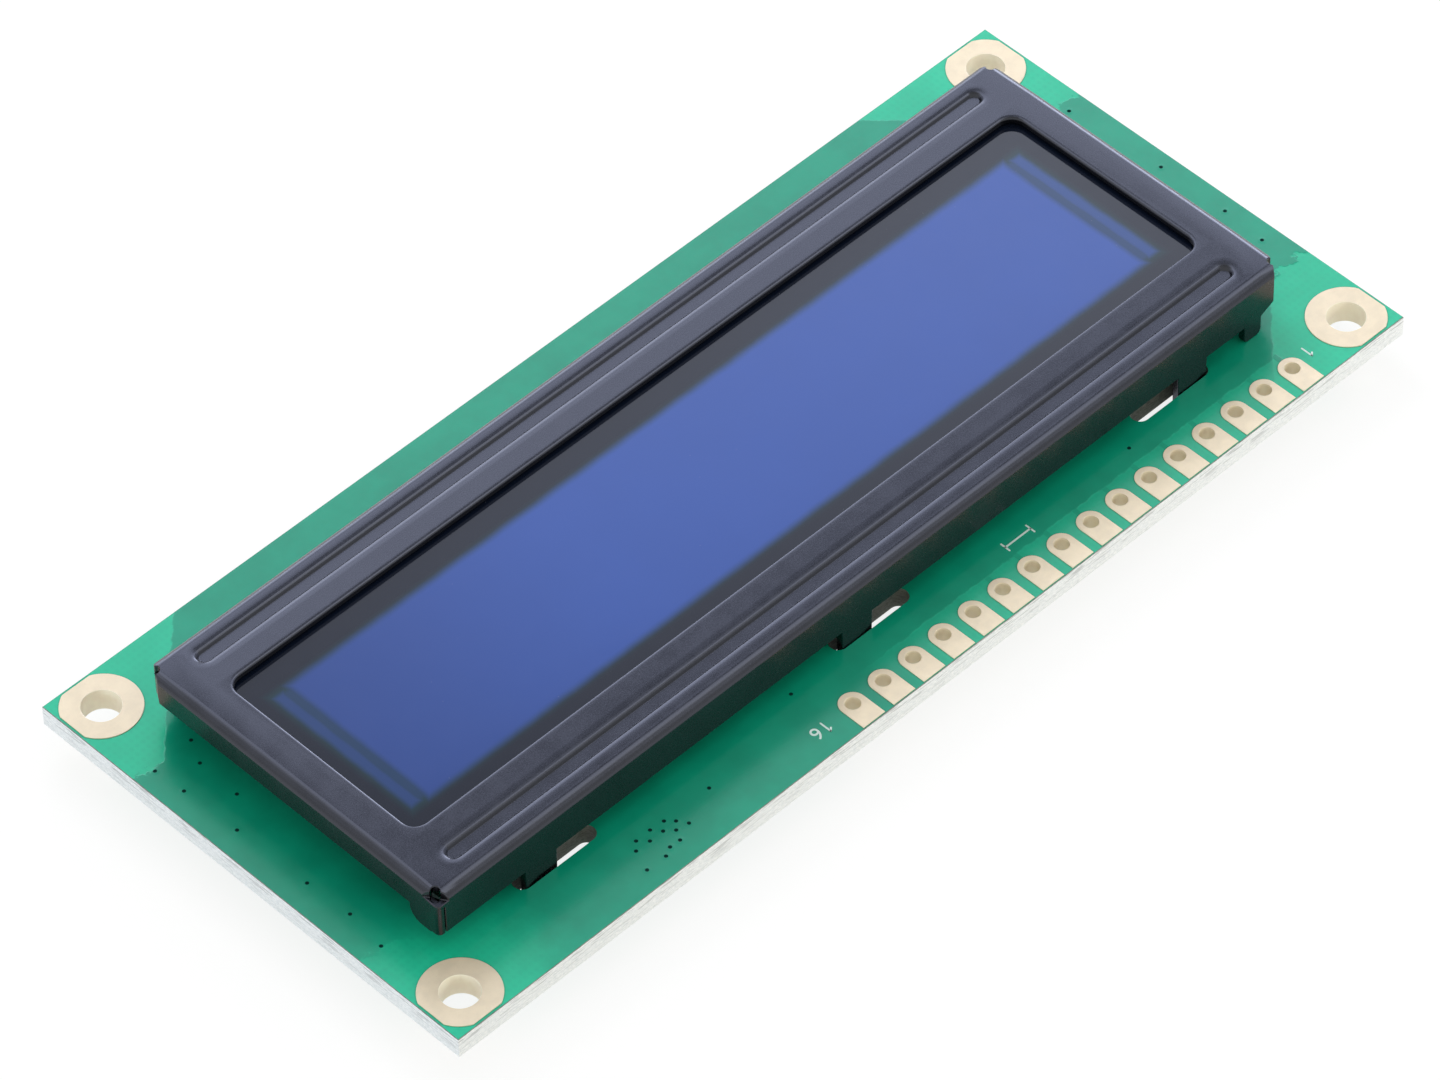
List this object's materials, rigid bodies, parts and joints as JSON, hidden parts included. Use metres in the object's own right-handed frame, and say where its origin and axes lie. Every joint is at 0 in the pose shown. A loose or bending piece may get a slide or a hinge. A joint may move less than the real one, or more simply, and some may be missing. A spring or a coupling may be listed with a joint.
{
  "type": "character oled module",
  "caption": "Character OLED display module: a circuit board with a folded metal bezel around the display window, plated pin holes along an edge and plated mounting holes in the corners.",
  "frame": {"origin": "midway between the four mounting holes, on the board's rear face", "axes": "+X right as the display is read, along the board's length; +Y towards the pin row; +Z out of the screen"},
  "size_m": [0.08, 0.036, 0.0084],
  "materials": {
    "board_mask": "glossy green mask over glass-epoxy laminate",
    "gold_plating": "satin flash gold",
    "bezel_metal": "satin dark grey coating on folded sheet",
    "polariser_film": "smooth dark film",
    "panel_glass": "clear polished glass",
    "emitter_layers": "blue-grey thin film",
    "drying_sheet": "matte white sheet",
    "flex_film": "amber film",
    "spacer_plastic": "matte black",
    "epoxy": "glossy black cast epoxy",
    "ferrite": "matte dark grey",
    "tinned_metal": "tin plate",
    "part_plastic": "matte moulded black",
    "capacitor_ceramic": "matte tan",
    "resistor_ceramic": "glazed black"
  },
  "bodies": {
    "root": {"board": "board_mask", "mounting_rings": "gold_plating", "pin_pads": "gold_plating", "bezel": "bezel_metal", "polariser": "polariser_film", "front_glass": "panel_glass", "emitter_film": "emitter_layers", "desiccant_sheet": "drying_sheet", "cap_glass": "panel_glass", "flex_tail": "flex_film", "spacer_frame": "spacer_plastic", "controller_glob": "epoxy", "inductor_core": "ferrite", "inductor_terminals": "tinned_metal", "regulator_body": "part_plastic", "regulator_leads": "tinned_metal", "diode_body": "part_plastic", "diode_leads": "tinned_metal", "chip_capacitors": "capacitor_ceramic", "capacitor_terminals": "tinned_metal", "chip_resistors": "resistor_ceramic", "resistor_terminals": "tinned_metal", "jumper_pads": "gold_plating"}
  },
  "joints": []
}
